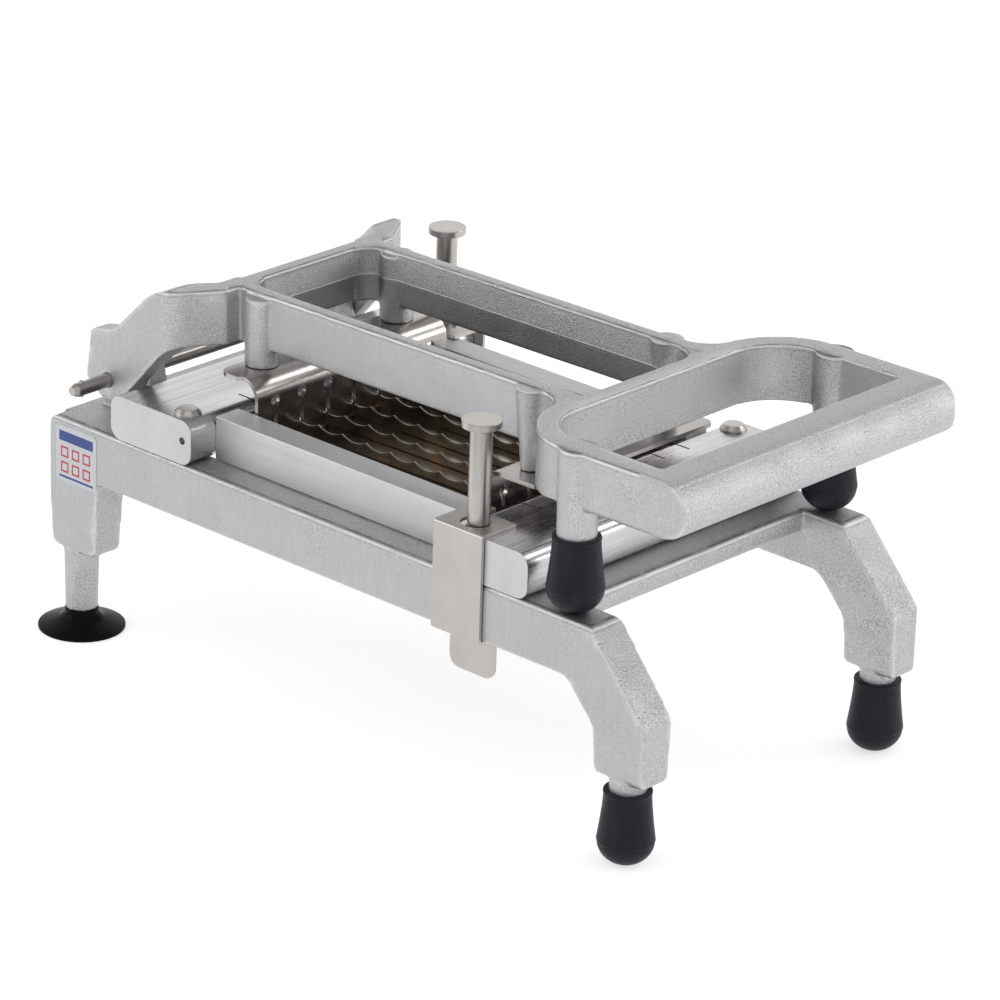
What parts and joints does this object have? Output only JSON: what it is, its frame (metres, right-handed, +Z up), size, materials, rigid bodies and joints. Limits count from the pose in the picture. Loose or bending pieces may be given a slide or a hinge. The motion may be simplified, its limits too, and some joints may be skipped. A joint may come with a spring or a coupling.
{
  "type": "chicken slicer",
  "caption": "Hand-operated slicer: a hinged lever presses food through a removable cartridge of scalloped blades on a legged cast stand.",
  "frame": {"origin": "on the table, under the middle of the slicer's length and width", "axes": "+X from the hinge towards the grip, +Z up; the hinge pin lies along Y"},
  "size_m": [0.4779, 0.255, 0.2223],
  "materials": {
    "cast_aluminium": "tumbled satin casting",
    "machined_aluminium": "brushed bar stock",
    "stainless_steel": "brushed",
    "blade_steel": "ground",
    "rubber": "matt black",
    "label": "printed film"
  },
  "bodies": {
    "stand": {"base_casting": "cast_aluminium", "suction_cup_near": "rubber", "suction_cup_far": "rubber", "cup_studs": "stainless_steel", "foot_near": "rubber", "foot_far": "rubber", "side_label": "label", "dowel_near": "stainless_steel", "dowel_far": "stainless_steel", "rear_block": "machined_aluminium", "front_block": "machined_aluminium", "side_bar_near": "machined_aluminium", "side_bar_far": "machined_aluminium", "tie_screws": "stainless_steel", "blade_1": "blade_steel", "blade_2": "blade_steel", "blade_3": "blade_steel", "blade_4": "blade_steel", "blade_5": "blade_steel", "blade_6": "blade_steel", "blade_7": "blade_steel", "blade_rod_rear": "stainless_steel", "blade_rod_front": "stainless_steel", "hold_down_near": "stainless_steel", "hold_down_far": "stainless_steel", "hinge_pin": "stainless_steel", "detent_balls": "stainless_steel"},
    "lever": {"lever_casting": "cast_aluminium", "bumper_near": "rubber", "bumper_far": "rubber", "pusher": "stainless_steel", "rear_screws": "stainless_steel", "front_screws": "stainless_steel"},
    "lock_pin_near_body": {"lock_pin_near": "stainless_steel"},
    "lock_pin_far_body": {"lock_pin_far": "stainless_steel"}
  },
  "joints": [
    {"name": "lever_hinge", "type": "hinge", "parent": "stand", "child": "lever", "pos_m": [-0.20179, 0, 0.1518], "axis": [0, -1, 0], "range_deg": [0, 110]},
    {"name": "lock_pin_near_lift", "type": "slide", "parent": "stand", "child": "lock_pin_near_body", "axis": [0, 0, 1], "range_m": [0, 0.045]},
    {"name": "lock_pin_far_lift", "type": "slide", "parent": "stand", "child": "lock_pin_far_body", "axis": [0, 0, 1], "range_m": [0, 0.045]}
  ]
}
